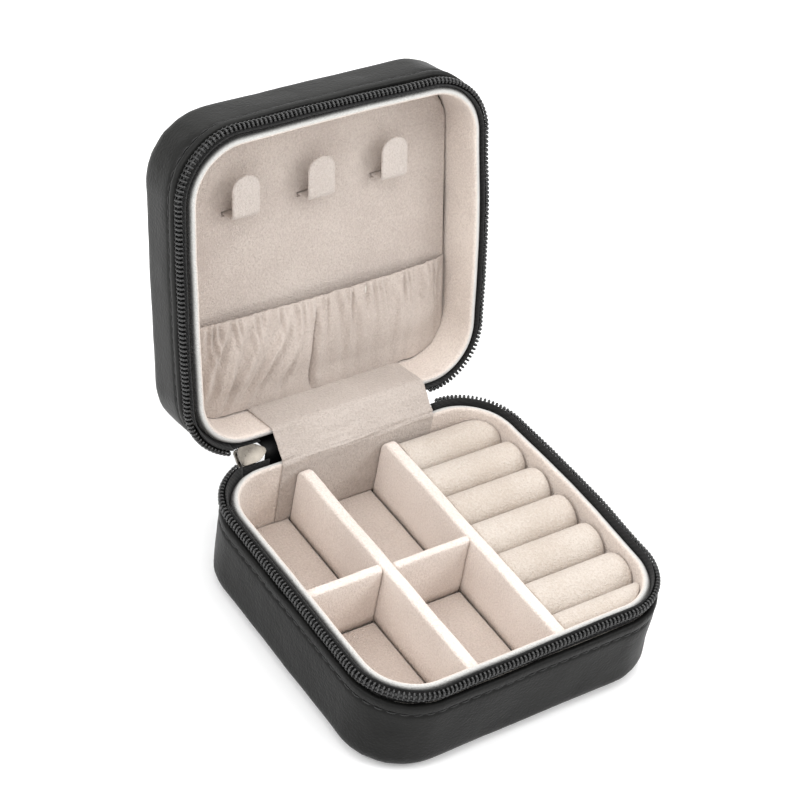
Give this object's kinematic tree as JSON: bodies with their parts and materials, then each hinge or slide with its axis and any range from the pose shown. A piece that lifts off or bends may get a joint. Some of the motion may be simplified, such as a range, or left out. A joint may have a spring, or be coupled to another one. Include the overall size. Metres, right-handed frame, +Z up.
{
  "type": "jewellery case",
  "caption": "Square zip-round travel jewellery case with a divided tray, ring rolls, and a lid with hooks and a gathered pocket.",
  "frame": {"origin": "middle of the underside of the base", "axes": "+Z up; +Y towards the hinge, where the open lid stands; +X to the right seen from the front"},
  "size_m": [0.1008, 0.1438, 0.1263],
  "materials": {
    "black_leather": "satin",
    "spine_leather": "satin",
    "board": "matte",
    "foam": "matte",
    "lining_velvet": "matte",
    "divider_velvet": "matte",
    "roll_velvet": "matte",
    "hook_velvet": "matte",
    "pocket_cloth": "matte",
    "elastic": "matte",
    "zip_tape": "matte",
    "zip_teeth": "satin",
    "zip_metal": "satin"
  },
  "bodies": {
    "base": {"base_leather_cover": "black_leather", "base_shell": "board", "base_foam_pad": "foam", "base_lining_wall": "lining_velvet", "base_floor_panel": "lining_velvet", "divider_left": "divider_velvet", "divider_right": "divider_velvet", "cross_divider_left": "divider_velvet", "cross_divider_middle": "divider_velvet", "ring_roll_1": "roll_velvet", "ring_roll_2": "roll_velvet", "ring_roll_3": "roll_velvet", "ring_roll_4": "roll_velvet", "ring_roll_5": "roll_velvet", "ring_roll_6": "roll_velvet", "ring_roll_7": "roll_velvet", "base_zip_tape": "zip_tape", "base_zip_coil": "zip_teeth", "hinge_lining_flap": "lining_velvet", "hinge_spine": "spine_leather"},
    "lid": {"lid_leather_cover": "black_leather", "lid_shell": "board", "lid_foam_pad": "foam", "lid_lining_wall": "lining_velvet", "lid_panel": "lining_velvet", "hook_left": "hook_velvet", "hook_middle": "hook_velvet", "hook_right": "hook_velvet", "lid_pocket": "pocket_cloth", "pocket_elastic": "elastic", "lid_zip_tape": "zip_tape", "lid_zip_coil": "zip_teeth"},
    "slider": {"zip_slider": "zip_metal"},
    "puller": {"zip_puller": "zip_metal"}
  },
  "joints": [
    {"name": "lid_hinge", "type": "hinge", "parent": "base", "child": "lid", "pos_m": [0, 0.0492, 0.0316], "axis": [-1, 0, 0], "range_deg": [-103.8, 0], "deforming": ["hinge_lining_flap", "hinge_spine"]},
    {"name": "slider_tilt", "type": "hinge", "parent": "base", "child": "slider", "pos_m": [-0.033, 0.0492, 0.0316], "axis": [-1, 0, 0], "range_deg": [-51.9, 0]},
    {"name": "puller_swing", "type": "hinge", "parent": "slider", "child": "puller", "pos_m": [-0.033, 0.05121, 0.02904], "axis": [1, 0, 0], "range_deg": [-3, 70]}
  ],
  "couplings": [
    {"joint": "slider_tilt", "follows": "lid_hinge", "ratio": 0.5}
  ]
}
